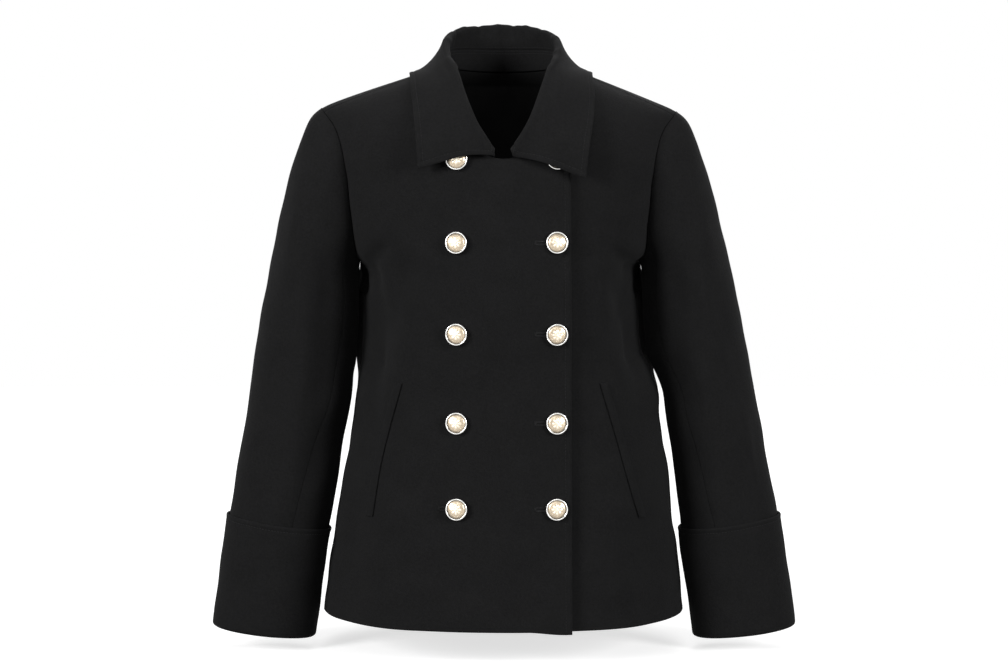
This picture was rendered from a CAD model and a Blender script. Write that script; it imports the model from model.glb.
import math
import bpy
import numpy as np
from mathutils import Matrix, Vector
from mathutils.bvhtree import BVHTree


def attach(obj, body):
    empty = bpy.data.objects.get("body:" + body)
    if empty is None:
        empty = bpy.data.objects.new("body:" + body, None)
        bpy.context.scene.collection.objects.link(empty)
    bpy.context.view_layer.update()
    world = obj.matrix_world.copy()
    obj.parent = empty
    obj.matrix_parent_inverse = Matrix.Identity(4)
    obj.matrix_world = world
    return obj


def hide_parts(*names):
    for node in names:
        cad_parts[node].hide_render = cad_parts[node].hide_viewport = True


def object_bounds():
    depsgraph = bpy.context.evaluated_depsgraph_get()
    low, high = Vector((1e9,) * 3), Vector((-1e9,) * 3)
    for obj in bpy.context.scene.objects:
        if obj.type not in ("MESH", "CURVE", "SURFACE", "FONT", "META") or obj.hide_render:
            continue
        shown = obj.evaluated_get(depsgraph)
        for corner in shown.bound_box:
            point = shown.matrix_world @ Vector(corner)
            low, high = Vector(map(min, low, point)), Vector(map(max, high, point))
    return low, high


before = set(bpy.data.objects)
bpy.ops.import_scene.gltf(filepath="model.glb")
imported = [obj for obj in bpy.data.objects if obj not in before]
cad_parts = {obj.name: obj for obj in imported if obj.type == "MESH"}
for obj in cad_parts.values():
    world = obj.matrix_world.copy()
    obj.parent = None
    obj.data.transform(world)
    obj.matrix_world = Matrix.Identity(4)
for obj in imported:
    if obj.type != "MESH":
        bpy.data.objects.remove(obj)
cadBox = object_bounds()
scene = bpy.context.scene
scene.view_settings.view_transform = "Standard"
print("frame loaded:", len(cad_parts), "nodes")


def mix(start, end, share):
    return start + (end - start) * share


def ease(value):
    value = np.clip(value, 0.0, 1.0)
    return value * value * (3 - 2 * value)


def unit(vectors):
    return vectors / np.maximum(np.linalg.norm(vectors, axis=-1, keepdims=True), 1e-12)


def smoothCurve(places, values, at):
    slopes = np.gradient(values, places)
    at = np.clip(at, places[0], places[-1])
    after = np.clip(np.searchsorted(places, at, side="right"), 1, len(places) - 1)
    width = places[after] - places[after - 1]
    t = (at - places[after - 1]) / width
    start = values[after - 1] * (1 + 2 * t) * (1 - t) ** 2 + slopes[after - 1] * width * t * (1 - t) ** 2
    return start + values[after] * t * t * (3 - 2 * t) - slopes[after] * width * t * t * (1 - t)


def tableValue(table, name, at):
    column = table["columns"].index(name)
    values = np.array(table["rows"])
    return smoothCurve(values[:, 0], values[:, column], at)


# finishes
woolLook = {
    "dark": (0.0086, 0.0086, 0.0088), "light": (0.0128, 0.0128, 0.0131),
    "evenOut": 0.77, "darkAt": 0.36, "lightAt": 0.66,
    "mottleScale": 38.0, "mottleShare": 0.30, "feltScale": 420.0, "napScale": 1500.0, "napShare": 0.8,
    "roughness": 0.95, "specular": 0.06, "bumpDepth": 0.00055, "bumpStrength": 0.55,
    "sheen": 0.010, "sheenRoughness": 0.45, "sheenTint": (0.80, 0.80, 0.82),
}
liningLook = {
    "dark": (0.0012, 0.0012, 0.0014), "light": (0.0026, 0.0026, 0.0029), "roughness": 0.55, "specular": 0.12,
    "creaseScale": 26.0, "creaseStretch": (1.0, 1.0, 0.25), "weaveScale": 1600.0, "weaveShare": 0.06,
    "bumpDepth": 0.0016, "bumpStrength": 0.5,
}
threadLook = {
    "colour": (0.0195, 0.0195, 0.0200), "darkest": 0.6, "lightest": 1.5, "twistScale": 2600.0,
    "roughness": 0.85, "specular": 0.12, "bumpDepth": 0.0001, "bumpStrength": 0.5,
}
# a metal with its own dark colour is darker in the hollows of the relief, and the others only vary a little
metalLooks = {
    "silverRim": {
        "light": (0.83, 0.82, 0.79), "shade": 0.8, "roughness": 0.20, "wearScale": 900.0, "bumpDepth": 0.00004,
    },
    "darkGroove": {
        "light": (0.040, 0.034, 0.030), "shade": 0.6, "roughness": 0.50, "wearScale": 900.0, "bumpDepth": 0.00006,
    },
    "champagneDisc": {
        "light": (0.84, 0.77, 0.63), "dark": (0.44, 0.36, 0.26), "wearShare": 0.5,
        "roughness": 0.34, "wearScale": 1100.0, "bumpDepth": 0.00012,
    },
}
metalBump = 0.4


def shaded(colour, share):
    return tuple(share * part for part in colour)


def setInputs(shader, values):
    for key, value in values.items():
        shader.inputs[key].default_value = value


def newMaterial(name):
    made = bpy.data.materials.new(name)
    made.use_nodes = True
    tree = made.node_tree
    return made, tree, tree.nodes["Principled BSDF"]


def addNode(tree, kind, values=(), **settings):
    node = tree.nodes.new(kind)
    for key, value in settings.items():
        setattr(node, key, value)
    for key, value in dict(values).items():
        node.inputs[key].default_value = value
    return node


def noiseNode(tree, coordinates, scale, detail, roughness=0.55, distortion=0.0):
    values = {"Scale": scale, "Detail": detail, "Roughness": roughness, "Distortion": distortion}
    node = addNode(tree, "ShaderNodeTexNoise", values)
    tree.links.new(coordinates, node.inputs["Vector"])
    return node.outputs["Fac"]


def blendColours(tree, factor, dark, light, low=0.3, high=0.7):
    ramp = addNode(tree, "ShaderNodeValToRGB")
    ramp.color_ramp.elements[0].position = low
    ramp.color_ramp.elements[0].color = (*dark, 1)
    ramp.color_ramp.elements[1].position = high
    ramp.color_ramp.elements[1].color = (*light, 1)
    tree.links.new(factor, ramp.inputs["Fac"])
    return ramp.outputs["Color"]


def sumHeights(tree, first, second, share):
    scaled = addNode(tree, "ShaderNodeMath", {1: share}, operation="MULTIPLY")
    tree.links.new(second, scaled.inputs[0])
    total = addNode(tree, "ShaderNodeMath", operation="ADD")
    tree.links.new(first, total.inputs[0])
    tree.links.new(scaled.outputs[0], total.inputs[1])
    return total.outputs[0]


def addBump(tree, shader, height, depth, strength):
    bump = addNode(tree, "ShaderNodeBump", {"Distance": depth, "Strength": strength})
    tree.links.new(height, bump.inputs["Height"])
    tree.links.new(bump.outputs["Normal"], shader.inputs["Normal"])


def woolFinish():
    look = woolLook
    made, tree, shader = newMaterial("meltonWool")
    at = addNode(tree, "ShaderNodeTexCoord").outputs["Object"]
    mottle = noiseNode(tree, at, look["mottleScale"], 3)
    felt = noiseNode(tree, at, look["feltScale"], 4, 0.62, 0.6)
    nap = noiseNode(tree, at, look["napScale"], 3, 0.6, 0.4)
    cloudy = sumHeights(tree, felt, mottle, look["mottleShare"])
    shade = addNode(tree, "ShaderNodeMath", {1: look["evenOut"]}, operation="MULTIPLY")
    tree.links.new(cloudy, shade.inputs[0])
    colour = blendColours(tree, shade.outputs[0], look["dark"], look["light"], look["darkAt"], look["lightAt"])
    tree.links.new(colour, shader.inputs["Base Color"])
    setInputs(shader, {
        "Roughness": look["roughness"], "Specular IOR Level": look["specular"], "Sheen Weight": look["sheen"],
        "Sheen Roughness": look["sheenRoughness"], "Sheen Tint": (*look["sheenTint"], 1),
    })
    height = sumHeights(tree, felt, nap, look["napShare"])
    addBump(tree, shader, height, look["bumpDepth"], look["bumpStrength"])
    return made


def liningFinish():
    look = liningLook
    made, tree, shader = newMaterial("satinLining")
    at = addNode(tree, "ShaderNodeTexCoord").outputs["Object"]
    stretched = addNode(tree, "ShaderNodeMapping", {"Scale": look["creaseStretch"]})
    tree.links.new(at, stretched.inputs["Vector"])
    creases = noiseNode(tree, stretched.outputs["Vector"], look["creaseScale"], 3, 0.5, 0.8)
    weave = noiseNode(tree, at, look["weaveScale"], 2)
    tree.links.new(blendColours(tree, creases, look["dark"], look["light"]), shader.inputs["Base Color"])
    setInputs(shader, {"Roughness": look["roughness"], "Specular IOR Level": look["specular"]})
    height = sumHeights(tree, creases, weave, look["weaveShare"])
    addBump(tree, shader, height, look["bumpDepth"], look["bumpStrength"])
    return made


def threadFinish():
    look = threadLook
    made, tree, shader = newMaterial("blackThread")
    at = addNode(tree, "ShaderNodeTexCoord").outputs["Object"]
    twist = noiseNode(tree, at, look["twistScale"], 2)
    dark, light = shaded(look["colour"], look["darkest"]), shaded(look["colour"], look["lightest"])
    tree.links.new(blendColours(tree, twist, dark, light), shader.inputs["Base Color"])
    setInputs(shader, {"Roughness": look["roughness"], "Specular IOR Level": look["specular"]})
    addBump(tree, shader, twist, look["bumpDepth"], look["bumpStrength"])
    return made


def metalFinish(name):
    look = metalLooks[name]
    made, tree, shader = newMaterial(name)
    at = addNode(tree, "ShaderNodeTexCoord").outputs["Object"]
    wear = noiseNode(tree, at, look["wearScale"], 4, 0.6)
    if "dark" in look:
        raised = addNode(tree, "ShaderNodeAttribute", attribute_name="relief").outputs["Fac"]
        height = sumHeights(tree, raised, wear, look["wearShare"])
        colour = blendColours(tree, height, look["dark"], look["light"], 0.18, 0.75)
    else:
        colour = blendColours(tree, wear, shaded(look["light"], look["shade"]), look["light"], 0.25, 0.6)
    tree.links.new(colour, shader.inputs["Base Color"])
    setInputs(shader, {"Metallic": 1.0, "Roughness": look["roughness"]})
    addBump(tree, shader, wear, look["bumpDepth"], metalBump)
    return made


wool, lining, thread = woolFinish(), liningFinish(), threadFinish()
rimMetal, grooveMetal, discMetal = (metalFinish(name) for name in metalLooks)
print("finishes made")


# walls of cloth, from grids of points
edgeKinds = {
    # sewn to the next piece, so it sinks a little
    "seam": {"dip": 0.0005, "dipReach": 0.0045, "stitchAt": None, "round": 0.0005},
    # the same, with its seam forward of the ridge
    "shoulderEdge": {"dip": 0.0004, "dipReach": 0.0045, "stitchAt": None, "round": 0.0005, "seamAt": 0.0200},
    # a plain turned edge, and three with topstitching
    "edge": {"dip": 0.0, "dipReach": 0.001, "stitchAt": None},
    "lapEdge": {"dip": 0.0, "dipReach": 0.001, "stitchAt": 0.0070},
    "leafEdge": {"dip": 0.0, "dipReach": 0.001, "stitchAt": 0.0062},
    "cuffEdge": {"dip": 0.0, "dipReach": 0.001, "stitchAt": 0.0055},
}
allTurned = dict.fromkeys(("left", "right", "bottom", "top"), "edge")
groove = {
    "depth": 0.00045, "width": 0.0012, "puff": 0.00025, "puffReach": 0.002,
    "seamDepth": 0.0007, "seamWidth": 0.0010,
}
# where the lines beside an edge lie: the rim's in radii, the others in metres
lineSteps = {
    "rim": (0.0, 0.22, 0.55, 1.0), "dip": 0.0030, "stitch": (-0.0030, -0.0013, 0.0, 0.0013, 0.0030),
    "beforeSeam": (0.0065, 0.0105, 0.0145), "seam": (-0.0028, -0.0014, -0.0006, 0.0, 0.0006, 0.0014, 0.0028),
}
rounded = {"most": 0.93, "share": 0.4}  # how far an edge is rounded, and how much of the wall that may take


def gridNormals(points, flip, closed=False):
    if closed:
        wrapped = np.concatenate([points[:, -1:], points, points[:, :1]], axis=1)
        return gridNormals(wrapped, flip)[:, 1:-1]
    along = np.gradient(points, axis=1)
    up = np.gradient(points, axis=0)
    return unit(np.cross(along, up)) * flip


def turned(grid, side):  # puts the edge that is meant first along axis 1
    if side in ("bottom", "top"):
        grid = grid.swapaxes(0, 1)
    return grid[:, ::-1] if side in ("right", "top") else grid


def turnedBack(grid, side):
    grid = grid[:, ::-1] if side in ("right", "top") else grid
    return grid.swapaxes(0, 1) if side in ("bottom", "top") else grid


def runFromEdge(points, side):
    lines = turned(points, side)
    steps = np.linalg.norm(np.diff(lines, axis=1), axis=-1)
    run = np.concatenate([np.zeros((len(lines), 1)), np.cumsum(steps, axis=1)], axis=1)
    return turnedBack(run, side)


# close lines beside both edges, and the others spread evenly between them
def withEdgeLines(grid, axis, near, far):
    near, far = np.array(near), np.array(far)
    made = []
    for line in grid if axis == 1 else grid.swapaxes(0, 1):
        steps = np.linalg.norm(np.diff(line[:, :3], axis=0), axis=-1)
        run = np.concatenate([[0], np.cumsum(np.maximum(steps, 1e-7))])
        tight = min(1.0, 0.7 * run[-1] / max(near[-1] + far[-1], 1e-6))
        start, end = near[-1] * tight, run[-1] - far[-1] * tight
        at = np.concatenate([near * tight, mix(start, end, run[1:-1] / run[-1]), run[-1] - far[::-1] * tight])
        made.append(np.stack([smoothCurve(run, channel, at) for channel in line.T], axis=-1))
    made = np.array(made)
    return made if axis == 1 else made.swapaxes(0, 1)


def edgeLines(kind, radius):
    radius = edgeKinds[kind].get("round", radius)
    lines = [step * radius for step in lineSteps["rim"]]
    stitchAt, seamAt = edgeKinds[kind]["stitchAt"], edgeKinds[kind].get("seamAt")
    if stitchAt:
        lines += [stitchAt + step for step in lineSteps["stitch"]]
    elif edgeKinds[kind]["dip"]:
        lines.append(lineSteps["dip"])
    if seamAt:
        lines += [*lineSteps["beforeSeam"], *(seamAt + step for step in lineSteps["seam"])]
    return lines


def shapeWall(points, inwards, thickness, edges, closed=False, marks=0.0):
    shape = (*points.shape[:2], 1)
    extras = [np.broadcast_to(np.asarray(values, float)[..., None], shape) for values in (thickness, marks)]
    grid = np.concatenate([points, inwards, *extras], axis=-1)
    radius = float(np.median(grid[..., 6])) / 2
    for axis, sides in ((1, ("left", "right")), (0, ("bottom", "top"))):
        if axis == 0 or not closed:
            near, far = ([0.0] if side not in edges else edgeLines(edges[side], radius) for side in sides)
            grid = withEdgeLines(grid, axis, near, far)
    points, inwards, thick, marked = grid[..., :3], unit(grid[..., 3:6]), grid[..., 6], grid[..., 7]
    rounding = np.zeros(points.shape[:2])
    sunk = np.zeros(points.shape[:2])
    stitchLines = {}
    for side, kind in edges.items():
        run = runFromEdge(points, side)
        spec = edgeKinds[kind]
        bend = spec.get("round", radius)
        inside = np.clip(1 - run / bend, 0, 1) * rounded["most"]
        rounding = np.maximum(rounding, bend * (1 - np.sqrt(1 - inside**2)))
        sunk = sunk + spec["dip"] * np.exp(-((run / spec["dipReach"]) ** 2))
        if "seamAt" in spec:
            away = (run - spec["seamAt"]) / groove["seamWidth"]
            sunk = sunk + marked * groove["seamDepth"] * np.exp(-(away**2))
        if spec["stitchAt"]:
            away = (run - spec["stitchAt"]) / groove["width"]
            puff = groove["puff"] * ease((spec["stitchAt"] - run) / groove["puffReach"]) * (rounding == 0)
            sunk = sunk + groove["depth"] * np.exp(-(away**2)) - puff
            stitchLines[side] = edgeLines(kind, radius).index(spec["stitchAt"])
    rounding = np.minimum(rounding, rounded["share"] * thick)
    outer = points + inwards * (rounding + sunk)[..., None]
    inner = points + inwards * (thick - rounding)[..., None]
    paths = {}
    for side, line in stitchLines.items():
        lines, facing = turned(outer, side), turned(inwards, side)
        paths[side] = (lines[:, line], -facing[:, line])
    return {"outer": outer, "inner": inner, "inwards": inwards, "paths": paths, "closed": closed}


def meshObject(name, points, faces, finishes, slots=None):
    mesh = bpy.data.meshes.new(name)
    mesh.from_pydata(np.asarray(points, float).tolist(), [], np.asarray(faces).tolist())
    for finish in finishes:
        mesh.materials.append(finish)
    if slots is not None:
        mesh.polygons.foreach_set("material_index", np.asarray(slots, np.int32))
    mesh.update()
    mesh.shade_smooth()
    made = bpy.data.objects.new(name, mesh)
    scene.collection.objects.link(made)
    return made


def facesOut(points, faces):
    a, b, c, d = (points[faces[:, k]] for k in range(4))
    volume = np.einsum("ij,ij->i", a, np.cross(b, c)).sum() + np.einsum("ij,ij->i", a, np.cross(c, d)).sum()
    return faces if volume > 0 else faces[:, ::-1]


def wallObject(name, wall, finishes, innerSlots=None):
    outer, inner = wall["outer"], wall["inner"]
    rows, cols = outer.shape[:2]
    count = rows * cols
    index = np.arange(count).reshape(rows, cols)
    if wall["closed"]:
        index = np.concatenate([index, index[:, :1]], axis=1)
    quads = np.stack([index[:-1, :-1], index[:-1, 1:], index[1:, 1:], index[1:, :-1]], axis=-1).reshape(-1, 4)
    borders = [(index[0], False), (index[-1], True)]
    if not wall["closed"]:
        borders += [(index[:, 0], True), (index[:, -1], False)]
    rims = []
    for line, flip in borders:
        rim = np.stack([line[:-1], line[:-1] + count, line[1:] + count, line[1:]], axis=-1)
        rims.append(rim[:, ::-1] if flip else rim)
    faces = np.concatenate([quads, quads[:, ::-1] + count, *rims])
    points = np.concatenate([outer.reshape(-1, 3), inner.reshape(-1, 3)])
    slots = np.zeros(len(faces), np.int32)
    if innerSlots is not None:
        slots[len(quads) : 2 * len(quads)] = innerSlots(inner[:-1, : index.shape[1] - 1]).reshape(-1)
    return meshObject(name, points, facesOut(points, faces), finishes, slots)


def clothPiece(node, wall, finishes, innerSlots=None):  # makes a piece of cloth and says what it is
    piece = wallObject(node + "_cloth", wall, finishes, innerSlots)
    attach(piece, "root")
    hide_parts(node)


def finer(grid, steps, axis):
    grid = np.moveaxis(grid, axis, 0)
    slopes = np.gradient(grid, axis=0)
    at = np.linspace(0, len(grid) - 1, steps * (len(grid) - 1) + 1)
    after = np.clip(np.floor(at).astype(int) + 1, 1, len(grid) - 1)
    t = (at - (after - 1)).reshape(-1, 1, 1)
    start = grid[after - 1] * (1 + 2 * t) * (1 - t) ** 2 + slopes[after - 1] * t * (1 - t) ** 2
    made = start + grid[after] * t * t * (3 - 2 * t) - slopes[after] * t * t * (1 - t)
    return np.moveaxis(made, 0, axis)


swellWaves = {"waves": 14, "shortest": 0.035, "longest": 0.11}


def unevenness(points, height, seed=4):  # a slow irregular swell of the cloth, the same wherever pieces meet
    picks = np.random.default_rng(seed)
    total = np.zeros(points.shape[:-1])
    for _ in range(swellWaves["waves"]):
        direction = unit(picks.normal(size=3))
        wave = direction * 2 * math.pi / picks.uniform(swellWaves["shortest"], swellWaves["longest"])
        total += np.sin(points @ wave + picks.uniform(0, 2 * math.pi))
    return total * height / math.sqrt(swellWaves["waves"] / 2)


# small creases run out at both ends
creaseEnds = {"belowHeight": 0.002, "lowest": 0.55, "rise": 0.45, "from": 0.05, "to": 0.95}


def foldHeight(along, across, folds):
    total = np.zeros_like(along)
    for a1, b1, a2, b2, spread, height in folds:
        length = (a2 - a1) ** 2 + (b2 - b1) ** 2
        share = np.clip(((along - a1) * (a2 - a1) + (across - b1) * (b2 - b1)) / length, 0, 1)
        away = (along - mix(a1, a2, share)) ** 2 + (across - mix(b1, b2, share)) ** 2
        c, ends = creaseEnds, 1.0
        if abs(height) < c["belowHeight"]:
            ends = c["lowest"] + c["rise"] * np.sin(math.pi * np.clip(share, c["from"], c["to"]))
        total += height * ends * np.exp(-away / spread**2)
    return total


# body
bodyCut = {
    "thickness": 0.0026, "seam": 0.00024, "armholeSeam": 0.00009, "unevenness": 0.00055,
    "hemZ": -0.596, "armpitX": 0.158, "armpitZ": -0.204, "shoulderX": 0.1975, "shoulderZ": -0.0315,
    "neckX": 0.068, "neckZ": 0.0145, "frontNeckDrop": 0.1005, "backNeckDrop": 0.0085, "shoulderRound": 0.085,
    # the overlap, and the left front under it
    "lapX": 0.0735, "lapRise": 0.021, "lapGap": 0.0010, "topLapGap": 0.0024,
    "lapFullX": 0.0775, "lapEndX": 0.135, "lapFullZ": -0.060, "lapTopZ": -0.020,
    "topLapStartZ": -0.160, "topLapFullZ": -0.100,
    "lapLift": 0.0026, "liftX": 0.052, "liftZ": -0.10, "liftFade": 0.05,
    "lapDrop": 0.0032, "dropX": 0.025, "dropFadeX": 0.04, "dropZ": -0.50, "dropFadeZ": 0.09,
    "lean": -0.0055, "leftShoulderDrop": 0.004, "shoulderDropZ": -0.300, "foldFadeX": 0.030, "foldFadeZ": 0.100,
    # lines of the panels, and how many of them take part where panels meet
    "rowsBelow": 90, "rowsAbove": 50, "sideColumns": 35, "mainColumns": 7, "neckColumns": 25, "lapColumns": 16,
    "rowCrowding": 0.6, "neckCrowding": 1.25, "blendColumns": 9, "turnColumns": 2, "neckRows": 4,
    "rimColumns": 8, "rimTilt": 0.6, "rimFade": 0.014, "shoulderSeamFade": 0.008,
    "shoulderTilt": 0.45, "tiltRows": ((-1, 1.0), (-2, 0.7), (-3, 0.35)), "tiltFade": 3,
    "hemFacing": 0.038, "frontFacing": 0.085, "facingPast": -0.075,
}
bodySections = {
    "columns": ("height", "edge", "width", "front", "back"),
    "rows": (
        (-0.596, 0.2030, 0.2030, 0.152, 0.140),
        (-0.545, 0.1975, 0.1975, 0.147, 0.135),
        (-0.490, 0.1895, 0.1895, 0.142, 0.128),
        (-0.436, 0.1815, 0.1815, 0.137, 0.121),
        (-0.380, 0.1720, 0.1720, 0.132, 0.112),
        (-0.326, 0.1645, 0.1645, 0.129, 0.106),
        (-0.245, 0.1575, 0.1575, 0.129, 0.108),
        (-0.204, 0.1580, 0.1580, 0.127, 0.112),
        (-0.185, 0.1610, 0.1663, 0.125, 0.113),
        (-0.157, 0.1635, 0.1746, 0.122, 0.114),
        (-0.125, 0.1660, 0.1803, 0.118, 0.113),
        (-0.100, 0.1690, 0.1857, 0.114, 0.111),
        (-0.075, 0.1735, 0.1915, 0.110, 0.107),
        (-0.050, 0.1830, 0.2006, 0.105, 0.101),
        (-0.0315, 0.1975, 0.2150, 0.101, 0.097),
        (0.020, 0.1975, 0.2150, 0.094, 0.090),
    ),
}
squareness = 2.3
pressCut = {
    "columns": ("height", "right", "left"),
    "rows": (
        (-0.365, 0.0000, 0.0000), (-0.345, 0.0010, 0.0016), (-0.330, 0.0030, 0.0036), (-0.318, 0.0062, 0.0066),
        (-0.308, 0.0080, 0.0086), (-0.290, 0.0084, 0.0090), (-0.256, 0.0080, 0.0090), (-0.245, 0.0076, 0.0088),
        (-0.235, 0.0072, 0.0082), (-0.226, 0.0068, 0.0068), (-0.2195, 0.0056, 0.0052), (-0.213, 0.0036, 0.0030),
        (-0.206, 0.0012, 0.0000), (-0.199, 0.0000, 0.0000),
    ),
    "bodyY": 0.022, "sleeveY": -0.022, "spread": 0.0165,
    "bodyX": 0.11, "bodyFade": 0.03, "sleeveX": 0.205, "sleeveFade": 0.02,
}
# how far the sides and the sleeves' inner faces lie over to the left further down
sideShifts = {
    "columns": ("height", "bodyRight", "bodyLeft", "sleeveRight", "sleeveLeft"),
    "rows": (
        (-0.530, 0.0000, 0.0000, 0.0000, 0.0000), (-0.470, 0.0015, 0.0020, 0.0025, 0.0035),
        (-0.430, 0.0030, 0.0045, 0.0030, 0.0060), (-0.400, 0.0030, 0.0050, 0.0030, 0.0060),
        (-0.370, 0.0028, 0.0066, 0.0036, 0.0066), (-0.347, 0.0020, 0.0090, 0.0036, 0.0080),
        (-0.330, 0.0012, 0.0060, 0.0026, 0.0050), (-0.305, 0.0000, 0.0000, 0.0000, 0.0000),
    ),
    "bodyX": 0.10, "sleeveX": 0.235, "fade": 0.05,
}
# each fold: x1, z1, x2, z2, spread, height. The first eight are the large ones that the solids have too
frontFolds = (
    (-0.108, -0.210, -0.148, -0.330, 0.020, -0.0050),
    (-0.080, -0.190, -0.128, -0.350, 0.022, 0.0022),
    (0.100, -0.215, 0.150, -0.360, 0.022, 0.0024),
    (0.130, -0.220, 0.158, -0.330, 0.018, -0.0048),
    (-0.125, -0.600, -0.110, -0.470, 0.030, 0.0040),
    (-0.175, -0.600, -0.165, -0.480, 0.022, -0.0030),
    (0.120, -0.600, 0.108, -0.480, 0.030, 0.0036),
    (0.172, -0.600, 0.162, -0.500, 0.022, -0.0030),
    (-0.1470, -0.220, -0.1530, -0.310, 0.0135, -0.0115),
    (-0.1360, -0.262, -0.1520, -0.375, 0.0200, -0.0065),
    (0.1480, -0.212, 0.1540, -0.305, 0.0115, -0.0090),
    (0.1360, -0.240, 0.1530, -0.375, 0.0170, -0.0055),
    (-0.150, -0.208, -0.132, -0.186, 0.0090, -0.0046),
    (-0.140, -0.222, -0.112, -0.205, 0.0095, 0.0008),
    (0.152, -0.206, 0.130, -0.192, 0.0092, -0.0048),
    (0.140, -0.221, 0.104, -0.203, 0.0095, 0.0008),
    (-0.150, -0.240, -0.120, -0.262, 0.0085, -0.0012),
    (0.150, -0.246, 0.118, -0.275, 0.0085, -0.0013),
    (0.112, -0.228, 0.148, -0.300, 0.0090, 0.0011),
    (-0.104, -0.150, -0.128, -0.196, 0.0110, -0.0009),
    (0.112, -0.150, 0.132, -0.198, 0.0110, -0.0009),
    (-0.140, -0.300, -0.100, -0.318, 0.0120, -0.0008),
    (0.146, -0.318, 0.108, -0.332, 0.0120, -0.0008),
    (-0.162, -0.380, -0.150, -0.470, 0.0140, 0.0010),
    (0.164, -0.390, 0.158, -0.460, 0.0140, 0.0010),
)
backFolds = (
    (-0.110, -0.600, -0.085, -0.420, 0.030, 0.0060),
    (-0.045, -0.600, -0.035, -0.450, 0.026, -0.0045),
    (0.020, -0.600, 0.012, -0.400, 0.032, 0.0055),
    (0.080, -0.600, 0.068, -0.460, 0.026, -0.0045),
    (0.135, -0.600, 0.110, -0.430, 0.030, 0.0055),
    (-0.135, -0.190, -0.095, -0.330, 0.020, -0.0045),
    (0.130, -0.190, 0.098, -0.320, 0.020, -0.0045),
    (-0.090, -0.330, 0.090, -0.345, 0.022, -0.0030),
    (-0.148, -0.206, -0.108, -0.232, 0.0080, -0.0016),
    (-0.140, -0.224, -0.098, -0.258, 0.0090, 0.0012),
    (0.150, -0.204, 0.104, -0.236, 0.0080, -0.0017),
    (0.142, -0.226, 0.100, -0.254, 0.0090, 0.0012),
    (-0.060, -0.318, 0.004, -0.326, 0.0100, 0.0011),
    (0.020, -0.356, 0.078, -0.350, 0.0100, -0.0010),
    (-0.120, -0.362, -0.066, -0.352, 0.0110, -0.0011),
    (0.124, -0.300, 0.070, -0.312, 0.0110, 0.0010),
    (-0.118, -0.120, -0.138, -0.176, 0.0120, -0.0010),
    (0.116, -0.118, 0.140, -0.172, 0.0120, -0.0010),
)
# creases that run over both fronts, where they lap
lapFolds = (
    (-0.060, -0.215, 0.010, -0.228, 0.013, -0.0007),
    (0.006, -0.305, 0.066, -0.318, 0.014, -0.0006),
    (-0.066, -0.405, 0.000, -0.398, 0.015, -0.0006),
    (-0.010, -0.120, 0.052, -0.140, 0.014, 0.0006),
    (0.000, -0.510, 0.012, -0.590, 0.018, 0.0010),
    (-0.058, -0.520, -0.066, -0.596, 0.020, -0.0009),
)


def bodyValue(name, z):
    return tableValue(bodySections, name, z)


def ridgeHeight(x):
    c = bodyCut
    return c["neckZ"] - (np.abs(x) - c["neckX"]) * (c["neckZ"] - c["shoulderZ"]) / (c["shoulderX"] - c["neckX"])


def bodyDepth(side, x, z):
    share = np.clip(np.abs(x) / bodyValue("width", z), 0, 1)
    flat = bodyValue(side, z) * (1 - share**squareness) ** (1 / squareness)
    below = np.clip((ridgeHeight(x) - z) / bodyCut["shoulderRound"], 0, 1)
    return flat * np.sqrt(1 - (1 - below) ** 2)


def panelRows():
    c = bodyCut
    below = np.linspace(c["hemZ"], c["armpitZ"], c["rowsBelow"] + 1)
    even = np.arange(1, c["rowsAbove"] + 1) / c["rowsAbove"]
    up = np.concatenate([np.zeros(len(below)), mix(even, ease(even), c["rowCrowding"])])
    return np.concatenate([below, np.full(len(even), c["armpitZ"])])[:, None], up[:, None]


def neckShares():
    return 1 - (np.arange(bodyCut["neckColumns"] + 1) / bodyCut["neckColumns"]) ** bodyCut["neckCrowding"]


def halfPanel(side):  # x and z of half a panel, from its side seam to its middle
    c = bodyCut
    drop = c["frontNeckDrop"] if side == "front" else c["backNeckDrop"]
    height, up = panelRows()
    sideShare = 1 - np.arange(c["sideColumns"]) / c["sideColumns"]
    neckShare = neckShares()
    shoulderTop = ridgeHeight(mix(c["neckX"], c["shoulderX"], sideShare))
    neckTop = c["neckZ"] - drop * np.cos(neckShare * math.pi / 2)
    z = mix(height, np.concatenate([shoulderTop, neckTop])[None], up)
    mainShare = 1 - np.arange(c["mainColumns"]) / c["mainColumns"]
    mainTop = mix(c["neckX"], c["shoulderX"], mainShare)
    mainZ = mix(height, ridgeHeight(mainTop)[None], up)
    edge = bodyValue("edge", mainZ)
    width = np.maximum(bodyValue("width", mainZ), edge)
    edgeAngle = np.arcsin(np.minimum(edge / width, 1))
    low = np.sin(mix(np.arcsin(c["lapX"] / width), edgeAngle, mainShare)) / np.sin(edgeAngle)
    mainX = [edge * mix(low, mainTop / c["shoulderX"], up), mix(c["lapX"], c["neckX"], up)]
    mainX = np.concatenate(mainX, axis=1)
    xSide = finer(mainX[..., None], c["sideColumns"] // c["mainColumns"], 1)[:, :-1, 0]
    xNeck = mix(c["lapX"] * neckShare[None], c["neckX"] * np.sin(neckShare * math.pi / 2)[None], up)
    return np.stack([np.concatenate([xSide, xNeck], axis=1), z], axis=-1)


def lapStretch():
    c = bodyCut
    height, up = panelRows()
    t = np.arange(1, c["lapColumns"] + 1) / c["lapColumns"]
    z = mix(height, c["neckZ"] - c["frontNeckDrop"] + c["lapRise"] * t[None] ** 2, up)
    return np.stack([np.broadcast_to(c["lapX"] * t, z.shape), z], axis=-1)


def bodyPoints(side, places, sign):
    x, z = places[..., 0] * sign, places[..., 1]
    return np.stack([x, bodyDepth(side, x, z) * (-1 if side == "front" else 1), z], axis=-1)


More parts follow.
